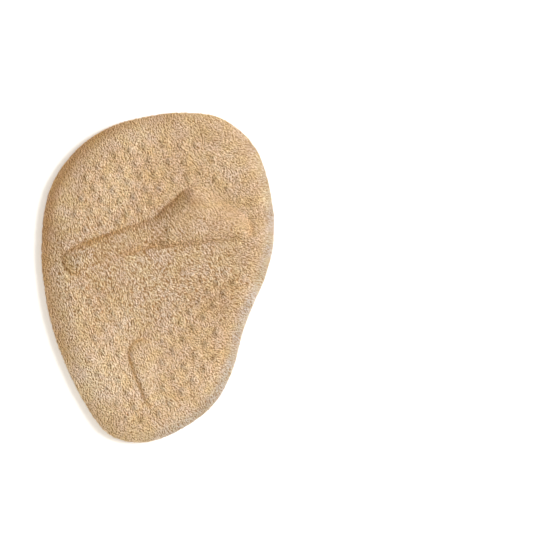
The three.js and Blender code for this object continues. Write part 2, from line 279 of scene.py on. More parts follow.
def formOver(points, ring, slope, crease, crisp, paintedShadeWidth):
    # For each point the share of the climb from the ring up the slope that rises from it, the crease's depth,
    # and how dark the painted shade is beside the crease
    batch = 4000  # points worked out at a time
    way = np.roll(ring, -1, 0) - ring
    climb, depth, dark = (np.empty(len(points)) for i in range(3))
    for first in range(0, len(points), batch):
        some = points[first:first + batch]
        offset = some[:, None, :] - ring[None]
        along = np.clip((offset * way).sum(2) / (way * way).sum(1), 0, 1)
        gaps = np.linalg.norm(offset - along[:, :, None] * way, axis=2)
        crosses = (offset[:, :, 1] >= 0) != (offset[:, :, 1] - way[:, 1] >= 0)
        with np.errstate(divide="ignore", invalid="ignore"):
            toLeft = offset[:, :, 0] < way[:, 0] * offset[:, :, 1] / way[:, 1]
        inside = (crosses & toLeft).sum(1) % 2 == 1
        shares = (gaps + ridgeFoot) / (slope + ridgeFoot)
        best = np.where(inside, shares.argmin(1), gaps.argmin(1))
        rows = np.arange(len(some))
        out = (ridgeFoot - gaps[rows, best]) / (slope[best] + ridgeFoot)
        share = np.clip(np.where(inside, shares[rows, best], out), 0, 1)
        crispClimb = 1.5 * share - 0.5 * share**3  # steep from the foot, and level at the top
        climb[first:first + batch] = crisp[best] * crispClimb + (1 - crisp[best]) * smoothStep(share)
        depth[first:first + batch] = (crease * (1 - smoothStep(gaps / creaseWidth))).max(1)
        # Painted shade, darker where the crease is deeper, reaching paintedShadeWidth into the form and part
        # of the crease's width outside it
        shadeGaps = gaps / np.where(inside, paintedShadeWidth, creaseShade * creaseWidth)[:, None]
        dark[first:first + batch] = (crease / creaseWidth * (1 - smoothStep(shadeGaps))).max(1)
    return climb, depth, dark


def filledBox(ring):
    # Stretches the ring so that it fills the pad's width and length exactly
    low, high = ring.min(0), ring.max(0)
    return (ring - (low + high) / 2) / (high - low) * padSize


def plainHeight(points):
    spread = ((2 * points / padSize) ** 2).sum(1)
    side = np.cos(np.arctan2(points[:, 1], points[:, 0]) - body["shoulderSide"]).clip(0)
    edge = smoothStep((np.sqrt(spread) - body["shoulderStart"]) / (1 - body["shoulderStart"]))
    return body["plainTop"] - body["dish"] * (1 - spread) - body["shoulderDrop"] * side * edge


def nubRelief(points):
    # For each point how high the nubs stand, and how near it is to a nub's foot
    height, foot = np.zeros(len(points)), np.zeros(len(points))
    for fromX, fromY, toX, toY, count, size in nubStrings:
        for share in np.linspace(0, 1, count):
            middle = np.array([fromX + (toX - fromX) * share, fromY + (toY - fromY) * share]) * padSize
            away = np.linalg.norm(points - middle, axis=1) / (size * nubs["diameter"] / 2)
            height += size * nubs["height"] * (1 - smoothStep(away))
            foot = np.maximum(foot, size * (1 - smoothStep(np.abs(away - 1) / nubs["footWidth"])))
    return height, foot


def relief(points):
    # For each point how high the ridges stand, how deep the creases and hollows are, and how dark the painted
    # shade beside the creases is
    height, creased, creasePaintedShade = (np.zeros(len(points)) for i in range(3))
    for ridge in ridges.values():
        rows = [(x * padSize[0], y * padSize[1], width * mm, depth * mm, crisp)
                for x, y, width, depth, crisp in ridge["outline"]]
        ring = closedSpline(rows, ridgeSteps)
        reach = max(ridgeFoot, creaseWidth)
        low, high = ring[:, :2].min(0) - reach, ring[:, :2].max(0) + reach
        near = np.flatnonzero(((points > low) & (points < high)).all(1))
        climb, depth, dark = formOver(points[near], ring[:, :2], *ring[:, 2:].T, ridge["paintedShadeWidth"])
        height[near] = np.maximum(height[near], ridge["rise"] * climb)
        creased[near] = np.maximum(creased[near], depth)
        creasePaintedShade[near] = np.maximum(creasePaintedShade[near], ridge["tone"] * dark)
    for fade in spotFades(points, hollows):
        creased = np.maximum(creased, fade * mm)
    return height, creased, creasePaintedShade


def reliefHeight(points):
    height, creased, creasePaintedShade = relief(points)
    return height - creased


def rimProfile(deep, steps):
    # Rows from the hem's cut edge round the rim to the plain top: how far in from the widest line, how far
    # under it, the share of the way up to the plain top, and how far the cloth runs on to the roll's end
    under = np.linspace(0, math.pi / 2, steps["under"] + 1)
    roll = np.linspace(0, math.pi / 2, steps["roll"] + 1)[1:]
    tuck, width = body["undersideRound"], body["rollWidth"]
    widest = deep * (body["wallAtRim"] if deep > body["pileDepth"] else 1)
    drop = body["rimHeight"] - body["hemLift"] - deep
    climb = body["plainTop"] - deep - body["rimHeight"]
    hem = np.linspace(body["hemWidth"], tuck, steps["hem"], endpoint=False)
    across = np.concatenate([
        hem, tuck - (tuck - widest) * np.sin(under), width - (width - widest) * np.cos(roll)])
    below = np.concatenate([np.full(steps["hem"], drop), drop * np.cos(under), np.zeros(steps["roll"])])
    crown = body["rollRound"] * np.sin(roll) + (1 - body["rollRound"]) * np.sin(roll) ** 2
    lift = np.concatenate([np.zeros(steps["hem"] + steps["under"] + 1), crown])
    leaps = np.hypot(np.diff(across), np.diff(climb * lift - below))
    run = np.append(np.cumsum(leaps[::-1])[::-1], 0)
    return zip(across, below, lift, run)


def padRings(deep, around, steps, nubbed=False):
    # Rings of the surface that lies deep under the outside of the pad, from the hem's cut edge round the rim
    # to the middle. Each row has the ring's points and their places on the flat cloth.
    outline = filledBox(closedSpline(padOutline, around))
    inward = inwardOf(outline)
    rollEnd = outline + inward * body["rollWidth"]
    rows = [(outline + inward * across, below, lift, rollEnd - inward * run)
            for across, below, lift, run in rimProfile(deep, steps)]
    shares = np.linspace(1, 0, steps["plain"] + 1)[1:-1]
    rows += [(rollEnd * share, 0, 1, rollEnd * share) for share in shares]
    flats = np.vstack([row[0] for row in rows])
    plain = plainHeight(flats).reshape(-1, around) - deep - body["rimHeight"]
    form = reliefHeight(flats) + (nubRelief(flats)[0] if nubbed else 0)
    rings = []
    for (flat, below, lift, cloth), climb, raised in zip(rows, plain, form.reshape(-1, around)):
        height = body["rimHeight"] - below + (climb + raised * lift) * lift
        rings.append((np.column_stack([flat, height]), cloth))
    return rings


def topPole(deep):
    middle = np.zeros((1, 2))
    return np.array([0, 0, plainHeight(middle)[0] + reliefHeight(middle)[0] - deep])


clothSpan = 0.13  # metres of flat cloth across the whole UV map


def ringMesh(name, rings, low=None, high=None):
    # Joins rings of points, and closes the first and last with a pole where one is given
    count = len(rings[0][0])
    points = np.vstack([ring for ring, cloth in rings])
    cloth = np.vstack([cloth for ring, cloth in rings])
    here = np.arange(count)
    beside = (here + 1) % count
    faces = []
    for level in range(len(rings) - 1):
        a, b = level * count, (level + 1) * count
        faces += np.column_stack([a + here, a + beside, b + beside, b + here]).tolist()
    for pole, ring in ((low, 0), (high, (len(rings) - 1) * count)):
        if pole is None:
            continue
        tip = len(points)
        points = np.vstack([points, pole])
        cloth = np.vstack([cloth, pole[:2]])
        sides = (ring + beside, ring + here) if pole is low else (ring + here, ring + beside)
        faces += np.column_stack([*sides, np.full(count, tip)]).tolist()
    mesh = bpy.data.meshes.new(name)
    mesh.from_pydata(points.tolist(), [], faces)
    mesh.polygons.foreach_set("use_smooth", [True] * len(mesh.polygons))
    corners = np.empty(len(mesh.loops), dtype=int)
    mesh.loops.foreach_get("vertex_index", corners)
    uv = mesh.uv_layers.new(name="cloth")
    uv.data.foreach_set("uv", (cloth[corners] / clothSpan + 0.5).ravel())
    return addObject(name, mesh)


print("pad: form worked out")

# Geometry Nodes and material nodes


def addNode(tree, kind, inputs=None, **settings):
    made = tree.nodes.new(kind)
    for name, value in settings.items():
        setattr(made, name, value)
    for key, value in (inputs or {}).items():
        if isinstance(value, bpy.types.NodeSocket):
            tree.links.new(value, made.inputs[key])
        else:
            made.inputs[key].default_value = value
    return made


def maths(tree, operation, *values):
    return addNode(tree, "ShaderNodeMath", dict(enumerate(values)), operation=operation).outputs[0]


def vectors(tree, operation, *values):
    return addNode(tree, "ShaderNodeVectorMath", dict(enumerate(values)), operation=operation).outputs[0]


def combined(tree, x, y, z):
    return addNode(tree, "ShaderNodeCombineXYZ", {0: x, 1: y, 2: z}).outputs[0]


# The pile: loops of yarn that stand on the ground knit, in courses from side to side of the foot

pile = {
    "clothWidth": 90 * mm, "loopSpacing": 0.40 * mm, "coursePitch": 0.385 * mm,
    "loopLength": 0.60 * mm, "loopHeight": 0.30 * mm, "sunk": 0.10 * mm,
    "yarnRadius": 0.113 * mm, "yarnSides": 3, "loopPoints": 4,
    "lengths": (0.7, 1.25), "heights": (0.7, 1.25), "thicknesses": (0.85, 1.2),  # shares of a plain loop's
    "stray": 0.5, "lean": 0.6, "leanAside": 0.4, "seed": 11, "bandSeed": 100,
    "lay": math.radians(127), "layTurn": math.radians(20) / (35 * mm),  # the lay turns from side to side
    "layDrift": 1.6, "layScale": 120.0, "laySpread": 0.6,
    "streakLength": 1.9 * mm, "streakWidth": 0.55 * mm, "streakTone": 0.45, "streakRise": 0.3,
    "toneSpread": 0.4, "toneAndShadeShare": 0.4,
    "gaps": 0.24, "thinning": 0.26, "partedTone": 0.20,  # where the pile is parted
    "evenness": 0.6,  # of the tone where the pile is closed
    "tightLength": 0.2, "tightThickness": 0.5, "tightTone": 0.4,  # where the cloth is drawn tight
    "tightDrop": 0.2, "oddDrop": 0.6,  # every other course sinks further there
    "lowest": 0.75 * mm,  # height under which the turned-in hem is pressed flat and has no loops
    "bands": {
        "pileHeel": (-0.60, -0.27), "pileArch": (-0.27, -0.08), "pileMiddle": (-0.08, 0.10),
        "pileRidge": (0.10, 0.27), "pileToe": (0.27, 0.60),
    },
}

pileSizes = {
    "Cloth width": pile["clothWidth"], "Loop spacing": pile["loopSpacing"],
    "Course pitch": pile["coursePitch"], "Yarn radius": pile["yarnRadius"],
    "Loop length": pile["loopLength"], "Loop height": pile["loopHeight"],
    "Sunk": pile["sunk"], "Stray": pile["stray"], "Lean": pile["lean"],
    "Lay": pile["lay"], "Lay turn": pile["layTurn"], "Lay drift": pile["layDrift"],
    "Lay scale": pile["layScale"], "Lay spread": pile["laySpread"],
    "Streak length": pile["streakLength"], "Streak width": pile["streakWidth"],
    "Streak tone": pile["streakTone"], "Streak rise": pile["streakRise"],
    "Gaps": pile["gaps"], "Thinning": pile["thinning"], "Parted tone": pile["partedTone"],
    "Evenness": pile["evenness"],
}


def given(tree, name):
    # One of the tree's own inputs
    return tree.nodes["given"].outputs[name]


def chance(tree, low, high, salt):
    # A random number for each loop. The salt sets one use of it apart from the others.
    seed = maths(tree, "ADD", given(tree, "Seed"), salt)
    made = addNode(tree, "FunctionNodeRandomValue", {2: low, 3: high, "Seed": seed}, data_type="FLOAT")
    return made.outputs[1]


def named(tree, name, kind="FLOAT"):
    return addNode(tree, "GeometryNodeInputNamedAttribute", {"Name": name}, data_type=kind).outputs[0]


def stored(tree, geometry, name, value, kind="FLOAT", domain="POINT"):
    inputs = {"Geometry": geometry, "Name": name, "Value": value}
    return addNode(tree, "GeometryNodeStoreNamedAttribute", inputs, data_type=kind, domain=domain).outputs[0]


def onCloth(tree, value, kind="FLOAT_VECTOR", ahead=0.0):
    # The cloth's value over a loop's place on the flat cloth, or ahead of it along the course
    spot = vectors(tree, "ADD", named(tree, "flatPlace", "FLOAT_VECTOR"), (ahead, 0, 0))
    uv = vectors(tree, "ADD", vectors(tree, "MULTIPLY", spot, (1 / clothSpan,) * 3), (0.5, 0.5, 0))
    return addNode(tree, "GeometryNodeSampleUVSurface", {
        "Mesh": given(tree, "Cloth"), "Value": value,
        "Source UV Map": named(tree, "cloth", "FLOAT_VECTOR"), "Sample UV": uv}, data_type=kind)


def slackness(tree):
    return maths(tree, "SUBTRACT", 1.0, named(tree, "tight"))


def courseGrid(tree):
    # A grid on the flat cloth: one row of points for each course, every other one shifted by half a loop
    pitch, spacing = given(tree, "Course pitch"), given(tree, "Loop spacing")
    courses = given(tree, "Courses")
    tall = maths(tree, "MULTIPLY", maths(tree, "SUBTRACT", courses, 1), pitch)
    across = maths(tree, "FLOOR", maths(tree, "DIVIDE", given(tree, "Cloth width"), spacing))
    grid = addNode(tree, "GeometryNodeMeshGrid", {
        "Size X": given(tree, "Cloth width"), "Size Y": tall, "Vertices X": across, "Vertices Y": courses})
    place = tree.nodes.new("GeometryNodeInputPosition").outputs[0]
    number = tree.nodes.new("GeometryNodeInputIndex").outputs[0]
    odd = maths(tree, "MODULO", maths(tree, "MODULO", number, courses), 2)
    shift = maths(tree, "ADD", maths(tree, "MULTIPLY", odd, 0.5), chance(tree, -0.5, 0.5, 1))
    middle = maths(tree, "ADD", maths(tree, "MULTIPLY", given(tree, "First course"), pitch),
                   maths(tree, "MULTIPLY", tall, 0.5))
    spread = addNode(tree, "GeometryNodeSetPosition", {
        "Geometry": grid.outputs["Mesh"],
        "Offset": combined(tree, maths(tree, "MULTIPLY", shift, spacing), middle, 0.0)}).outputs[0]
    spread = stored(tree, stored(tree, spread, "odd", odd), "flatPlace", place, "FLOAT_VECTOR")
    for name in ("tight", "toneAndShade", "rimLightAndShade", "creaseAndFootShade", "parted"):
        spread = stored(tree, spread, name, onCloth(tree, named(tree, name), "FLOAT").outputs[0])

    # Where the cloth is drawn tight the loops stay in their courses, and elsewhere they stray
    room = maths(tree, "MULTIPLY", given(tree, "Stray"), pitch)
    stray = maths(tree, "MULTIPLY", maths(tree, "MULTIPLY", chance(tree, -1, 1, 2), room), slackness(tree))
    strayed = addNode(tree, "GeometryNodeSetPosition", {
        "Geometry": spread, "Offset": combined(tree, 0.0, stray, 0.0)}).outputs[0]
    return stored(tree, strayed, "flatPlace", place, "FLOAT_VECTOR")


def loopTurns(tree, spot):
    # Each loop turns with the lay of the pile, which drifts over the cloth, and leans by chance. The loops of
    # tight cloth lie along their course.
    flat = named(tree, "flatPlace", "FLOAT_VECTOR")
    slack = slackness(tree)
    place = tree.nodes.new("GeometryNodeInputPosition").outputs[0]
    normal = onCloth(tree, tree.nodes.new("GeometryNodeInputNormal").outputs[0]).outputs[0]
    course = vectors(tree, "SUBTRACT", onCloth(tree, place, ahead=0.2 * mm).outputs[0], spot)

    sideways = addNode(tree, "ShaderNodeSeparateXYZ", {0: flat}).outputs[0]
    drift = addNode(tree, "ShaderNodeTexNoise", {
        "Vector": flat, "Scale": given(tree, "Lay scale"), "Detail": 2.0}).outputs[0]
    drift = maths(tree, "MULTIPLY", maths(tree, "SUBTRACT", drift, 0.5), given(tree, "Lay drift"))
    lay = maths(tree, "MULTIPLY_ADD", sideways, given(tree, "Lay turn"), given(tree, "Lay"))
    lay = maths(tree, "ADD", lay, drift)
    lay = maths(tree, "MULTIPLY_ADD", chance(tree, -1, 1, 3), given(tree, "Lay spread"), lay)
    spin = maths(tree, "MULTIPLY_ADD", maths(tree, "SUBTRACT", lay, math.pi), slack, math.pi)

    lean, aside = given(tree, "Lean"), pile["leanAside"]
    leanX = maths(tree, "MULTIPLY", maths(tree, "MULTIPLY", chance(tree, -1, 1, 4), lean), slack)
    leanY = maths(tree, "MULTIPLY", maths(tree, "MULTIPLY", chance(tree, -aside, aside, 5), lean), slack)
    turned = addNode(tree, "FunctionNodeAxesToRotation", {"Primary Axis": normal, "Secondary Axis": course},
                     primary_axis="Z", secondary_axis="X").outputs[0]
    for euler in (combined(tree, 0.0, 0.0, spin), combined(tree, leanX, leanY, 0.0)):
        turns = {0: turned, 1: addNode(tree, "FunctionNodeEulerToRotation", {0: euler}).outputs[0]}
        turned = addNode(tree, "FunctionNodeRotateRotation", turns, rotation_space="LOCAL").outputs[0]
    return turned


def streaks(tree):
    # From -0.5 to 0.5: loops in a streak along the lay share some of their tone and height
    alongLay = addNode(tree, "ShaderNodeVectorRotate", {
        "Vector": named(tree, "flatPlace", "FLOAT_VECTOR"),
        "Angle": maths(tree, "MULTIPLY", given(tree, "Lay"), -1.0)}, rotation_type="Z_AXIS").outputs[0]
    size = combined(tree, given(tree, "Streak length"), given(tree, "Streak width"), 1.0)
    noise = addNode(tree, "ShaderNodeTexNoise", {
        "Vector": vectors(tree, "DIVIDE", alongLay, size), "Scale": 1.0, "Detail": 1.0}).outputs[0]
    return addNode(tree, "ShaderNodeMapRange", {0: noise, 1: 0.3, 2: 0.7, 3: -0.5, 4: 0.5}).outputs[0]


def yarnLoop(tree):
    # One loop: an arch of yarn with both feet in the ground knit
    handleSpread, handleRise = 1.25, 1.42  # of the arch's handles, over half its length and its height

    def back(value):
        return maths(tree, "MULTIPLY", value, -1.0)

    half = maths(tree, "MULTIPLY", given(tree, "Loop length"), 0.5)
    wide = maths(tree, "MULTIPLY", half, handleSpread)
    high = maths(tree, "MULTIPLY", given(tree, "Loop height"), handleRise)
    deep = back(given(tree, "Sunk"))
    arch = addNode(tree, "GeometryNodeCurvePrimitiveBezierSegment", {
        "Resolution": 16,
        "Start": combined(tree, back(half), 0.0, deep), "Start Handle": combined(tree, back(wide), 0.0, high),
        "End Handle": combined(tree, wide, 0.0, high), "End": combined(tree, half, 0.0, deep)}).outputs[0]
    steps = addNode(tree, "GeometryNodeResampleCurve", {"Curve": arch, "Count": given(tree, "Loop points")})
    section = addNode(tree, "GeometryNodeCurvePrimitiveCircle", {
        "Resolution": given(tree, "Yarn sides"), "Radius": given(tree, "Yarn radius")})
    return addNode(tree, "GeometryNodeCurveToMesh", {
        "Curve": steps.outputs[0], "Profile Curve": section.outputs[0], "Fill Caps": True}).outputs[0]


def loopChoice(tree, valid):
    # Loops stand above the pressed hem. Parted pile has fewer, so that the ground knit shows between them.
    grown = onCloth(tree, named(tree, "grown"), "FLOAT").outputs[0]
    missing = maths(tree, "MULTIPLY", named(tree, "parted"), given(tree, "Gaps"))
    chosen = valid
    for value, limit in ((grown, 0.5), (chance(tree, 0.0, 1.0, 10), missing)):
        passes = addNode(tree, "FunctionNodeCompare", {0: value, 1: limit},
                         data_type="FLOAT", operation="GREATER_THAN").outputs[0]
        chosen = addNode(tree, "FunctionNodeBooleanMath", {0: chosen, 1: passes}, operation="AND").outputs[0]
    return chosen


def loopScale(tree, streak):
    # Length, thickness and height of each loop, as shares of the plain loop's
    tight = named(tree, "tight")
    length = maths(tree, "MULTIPLY", chance(tree, *pile["lengths"], 7),
                   maths(tree, "MULTIPLY_ADD", tight, pile["tightLength"], 1.0))
    thick = maths(tree, "MULTIPLY", chance(tree, *pile["thicknesses"], 8),
                  maths(tree, "MULTIPLY_ADD", tight, pile["tightThickness"], 1.0))
    thinned = maths(tree, "MULTIPLY", named(tree, "parted"), given(tree, "Thinning"))
    thick = maths(tree, "MULTIPLY", thick, maths(tree, "SUBTRACT", 1.0, thinned))
    drop = maths(tree, "MULTIPLY_ADD", named(tree, "odd"), pile["oddDrop"], pile["tightDrop"])
    height = maths(tree, "MULTIPLY", chance(tree, *pile["heights"], 6),
                   maths(tree, "SUBTRACT", 1.0, maths(tree, "MULTIPLY", tight, drop)))
    raised = maths(tree, "MULTIPLY_ADD", streak, given(tree, "Streak rise"), 1.0)
    return combined(tree, length, thick, maths(tree, "MULTIPLY", height, raised))


def loopTone(tree, streak):
    # From 0, dark, to 1, pale. Closed pile is of more even tone than parted pile.
    parted = named(tree, "parted")
    spread = pile["toneSpread"]
    tone = maths(tree, "MULTIPLY_ADD", streak, given(tree, "Streak tone"), chance(tree, -spread, spread, 9))
    even = maths(tree, "MULTIPLY", maths(tree, "SUBTRACT", 1.0, parted), given(tree, "Evenness"))
    tone = maths(tree, "MULTIPLY", tone, maths(tree, "SUBTRACT", 1.0, even))
    # The pile's lighter and darker patches, some of them painted shade, and the painted highlight on the
    # nubs' tops shift the tone
    middle = maths(tree, "MULTIPLY_ADD", named(tree, "toneAndShade"), pile["toneAndShadeShare"], 0.5)
    return maths(tree, "MULTIPLY_ADD", parted, given(tree, "Parted tone"), maths(tree, "ADD", tone, middle))


def pileTree():
    tree = bpy.data.node_groups.new("terryPile", "GeometryNodeTree")
    face = tree.interface
    face.new_socket("Cloth", in_out="INPUT", socket_type="NodeSocketGeometry")
    for name in pileSizes:
        face.new_socket(name, in_out="INPUT", socket_type="NodeSocketFloat")
    for name in ("First course", "Courses", "Yarn sides", "Loop points", "Seed"):
        face.new_socket(name, in_out="INPUT", socket_type="NodeSocketInt")
    face.new_socket("Yarn", in_out="INPUT", socket_type="NodeSocketMaterial")
    face.new_socket("Pile", in_out="OUTPUT", socket_type="NodeSocketGeometry")
    tree.nodes.new("NodeGroupInput").name = "given"

    courses = courseGrid(tree)
    spot = onCloth(tree, tree.nodes.new("GeometryNodeInputPosition").outputs[0])
    streak = streaks(tree)
    seated = addNode(tree, "GeometryNodeSetPosition", {"Geometry": courses, "Position": spot.outputs[0]})
    placed = addNode(tree, "GeometryNodeInstanceOnPoints", {
        "Points": seated.outputs[0], "Selection": loopChoice(tree, spot.outputs["Is Valid"]),
        "Instance": yarnLoop(tree), "Rotation": loopTurns(tree, spot.outputs[0]),
        "Scale": loopScale(tree, streak)}).outputs[0]
    # yarnRimLightAndShade carries the rim's painted light and shade, and yarnCreaseAndFootShade the painted
    # shade of creases and nubs' feet
    tones = {
        "yarnTone": loopTone(tree, streak), "yarnRimLightAndShade": named(tree, "rimLightAndShade"),
        "yarnCreaseAndFootShade": named(tree, "creaseAndFootShade"),
    }
    for name, value in tones.items():
        placed = stored(tree, placed, name, value, domain="INSTANCE")
    real = addNode(tree, "GeometryNodeRealizeInstances", {"Geometry": placed})
    smooth = addNode(tree, "GeometryNodeSetShadeSmooth", {"Geometry": real.outputs[0]})
    dyed = addNode(tree, "GeometryNodeSetMaterial", {
        "Geometry": smooth.outputs[0], "Material": given(tree, "Yarn")})
    tree.links.new(dyed.outputs[0], tree.nodes.new("NodeGroupOutput").inputs[0])
    return tree


def makePile(clothSheet, yarn):
    tree = pileTree()
    sockets = {item.name: item.identifier for item in tree.interface.items_tree if item.in_out == "INPUT"}
    for number, (name, (low, high)) in enumerate(pile["bands"].items()):
        first = round(low * padSize[1] / pile["coursePitch"])
        last = round(high * padSize[1] / pile["coursePitch"])
        counts = {
            "First course": first, "Courses": last - first, "Yarn sides": pile["yarnSides"],
            "Loop points": pile["loopPoints"], "Seed": pile["seed"] + pile["bandSeed"] * number,
        }
        carrier = clothSheet.copy()
        bpy.context.scene.collection.objects.link(carrier)
        modifier = carrier.modifiers.new("pile", "NODES")
        modifier.node_group = tree
        for socket, value in {**pileSizes, **counts, "Yarn": yarn}.items():
            modifier[sockets[socket]] = value
        graph = bpy.context.evaluated_depsgraph_get()
        mesh = bpy.data.meshes.new_from_object(carrier.evaluated_get(graph))
        bpy.data.objects.remove(carrier)
        piece = addObject(name, mesh)
        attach(piece, "root")
        print("pad:", name, "has", sum(len(face.vertices) - 2 for face in mesh.polygons), "triangles")


# Materials


def newMaterial(name):
    material = bpy.data.materials.new(name)
    material.use_nodes = True
    return material, material.node_tree, material.node_tree.nodes["Principled BSDF"]


def mixed(tree, share, first, second, blend="MIX"):
    made = addNode(tree, "ShaderNodeMix", {0: share, 6: first, 7: second}, data_type="RGBA", blend_type=blend)
    return made.outputs[2]


def giveBump(tree, shader, height, strength, depth):
    bump = addNode(tree, "ShaderNodeBump", {"Strength": strength, "Distance": depth, "Height": height})
    tree.links.new(bump.outputs[0], shader.inputs["Normal"])


yarnLook = {
    "dark": (0.50, 0.31, 0.15), "mid": (0.83, 0.65, 0.437), "pale": (0.98, 0.89, 0.72),
    "darkAt": 0.15, "paleAt": 0.85,
    "toneShare": 0.6, "patchShare": 0.4, "patchScale": 90,  # each loop's own tone, and patches of many loops
    "ochre": (1.0, 0.98, 0.86), "pink": (1.0, 0.99, 1.06), "tintScale": 240, "tintEdges": (0.35, 0.65),
    # Painted light and shade: paintedLitSide greys the rim's pile on its lit side, paintedShadeSide darkens
    # its shaded side, and creased darkens the creases and the nubs' feet
    "paintedLitSide": (0.75, 0.83, 1.0), "paintedShadeSide": (0.76, 0.62, 0.46), "creased": (0.93, 0.73, 0.48),
    "fibreScale": 9000, "fibreStrength": 0.4, "fibreDepth": 0.05 * mm,
    "roughness": 0.92, "sheen": 0.08, "sheenTint": (1.0, 0.9, 0.78),
}


def yarnRamp(tree, tone):
    ramp = addNode(tree, "ShaderNodeValToRGB", {0: tone})
    stops = ramp.color_ramp.elements
    stops[0].position, stops[0].color = yarnLook["darkAt"], (*yarnLook["dark"], 1)
    stops[1].position, stops[1].color = yarnLook["paleAt"], (*yarnLook["pale"], 1)
    stop = stops.new(0.5)
    stop.color = (*yarnLook["mid"], 1)
    return ramp.outputs[0]


def yarnMaterial():
    material, tree, shader = newMaterial("terryYarn")
    place = tree.nodes.new("ShaderNodeTexCoord").outputs["Object"]

    def noise(scale, detail):
        inputs = {"Vector": place, "Scale": scale, "Detail": detail}
        return addNode(tree, "ShaderNodeTexNoise", inputs).outputs[0]

    def share(name):
        return addNode(tree, "ShaderNodeAttribute", attribute_name=name).outputs["Fac"]

    tone = maths(tree, "ADD", maths(tree, "MULTIPLY", share("yarnTone"), yarnLook["toneShare"]),
                 maths(tree, "MULTIPLY", noise(yarnLook["patchScale"], 3.0), yarnLook["patchShare"]))
    low, high = yarnLook["tintEdges"]
    tint = noise(yarnLook["tintScale"], 2.0)
    side = addNode(tree, "ShaderNodeMapRange", {0: tint, 1: low, 2: high}).outputs[0]
    dye = mixed(tree, side, (*yarnLook["ochre"], 1), (*yarnLook["pink"], 1))
    colour = mixed(tree, 1.0, yarnRamp(tree, tone), dye, "MULTIPLY")
    # Painted light and shade: the rim's lit and shaded sides, then painted shade in the creases and round the
    # nubs' feet
    shades = (("yarnRimLightAndShade", 1, "paintedLitSide"), ("yarnRimLightAndShade", -1, "paintedShadeSide"), ("yarnCreaseAndFootShade", 1, "creased"))
    for attribute, sign, shade in shades:
        amount = maths(tree, "MULTIPLY", share(attribute), sign)
        colour = mixed(tree, amount, colour, (*yarnLook[shade], 1), "MULTIPLY")
    tree.links.new(colour, shader.inputs["Base Color"])
    fibres = noise(yarnLook["fibreScale"], 2.0)
    giveBump(tree, shader, fibres, yarnLook["fibreStrength"], yarnLook["fibreDepth"])
    shader.inputs["Roughness"].default_value = yarnLook["roughness"]
    shader.inputs["Sheen Weight"].default_value = yarnLook["sheen"]
    shader.inputs["Sheen Tint"].default_value = (*yarnLook["sheenTint"], 1)
    return material


# Painted shade: the ground knit is coloured far darker than the loops for the shade deep among them, deep
# being the colour of its dips
groundLook = {
    "deep": (0.25, 0.125, 0.05), "crown": (0.47, 0.285, 0.13), "roughness": 0.95,
    "knitStrength": 0.6, "knitDepth": 0.1 * mm,
}


def groundMaterial():
    # The plain knit under the pile: courses and wales on the flat cloth's own map. Its colour is painted
    # shade, far darker than the loops and darkest in the knit's dips.
    material, tree, shader = newMaterial("groundKnit")
    uv = addNode(tree, "ShaderNodeUVMap", uv_map="cloth").outputs[0]
    split = addNode(tree, "ShaderNodeSeparateXYZ", {0: uv}).outputs
    turns = 2 * math.pi * clothSpan
    wales = maths(tree, "SINE", maths(tree, "MULTIPLY", split[0], turns / pile["loopSpacing"]))
    courses = maths(tree, "SINE", maths(tree, "MULTIPLY", split[1], turns / pile["coursePitch"]))
    knit = maths(tree, "MULTIPLY_ADD", maths(tree, "MULTIPLY", wales, courses), 0.5, 0.5)
    colour = mixed(tree, knit, (*groundLook["deep"], 1), (*groundLook["crown"], 1))
    tree.links.new(colour, shader.inputs["Base Color"])
    giveBump(tree, shader, knit, groundLook["knitStrength"], groundLook["knitDepth"])
    shader.inputs["Roughness"].default_value = groundLook["roughness"]
    return material


gelLook = {
    "soft": (0.86, 0.74, 0.56), "softRoughness": 0.45, "tacky": (0.90, 0.82, 0.68), "tackyRoughness": 0.28,
    "mottleScale": 160, "mottleShade": 0.9, "mottleStrength": 0.25, "mottleDepth": 0.1 * mm,
    "glow": 0.3, "glowRadius": (2 * mm, 1.4 * mm, 0.9 * mm),  # light that passes through the gel
}


def gelMaterial(name, color, roughness):
    material, tree, shader = newMaterial(name)
    place = tree.nodes.new("ShaderNodeTexCoord").outputs["Object"]
    mottle = addNode(tree, "ShaderNodeTexNoise", {
        "Vector": place, "Scale": gelLook["mottleScale"], "Detail": 4.0}).outputs[0]
    shade = [part * gelLook["mottleShade"] for part in color]
    tree.links.new(mixed(tree, mottle, (*shade, 1), (*color, 1)), shader.inputs["Base Color"])
    giveBump(tree, shader, mottle, gelLook["mottleStrength"], gelLook["mottleDepth"])
    shader.inputs["Roughness"].default_value = roughness
    shader.inputs["Subsurface Weight"].default_value = gelLook["glow"]
    shader.inputs["Subsurface Radius"].default_value = gelLook["glowRadius"]
    shader.inputs["Subsurface Scale"].default_value = 1.0
    return material


# Pieces

# Where the cloth is drawn tight, so that its courses show: rows of x, y, radius in millimetres and amount
tightSpots = [
    (0.45, 0.34, 6, 0.6), (0.50, 0.24, 7, 0.9), (0.51, 0.14, 7, 1.0), (0.50, 0.04, 7, 1.0),
    (0.45, -0.05, 7, 1.0), (0.41, -0.14, 7, 0.9), (0.37, -0.24, 7, 0.7), (0.31, 0.195, 5, 0.8),
    (0.25, 0.225, 4, 0.7), (0.36, 0.17, 4, 0.7),
]

# Where the pile is parted: rows of x, y, radius in millimetres and amount
partedSpots = [(-0.25, 0.04, 26, 0.9), (0.0, 0.02, 30, 1.0), (0.22, 0.03, 22, 0.7)]

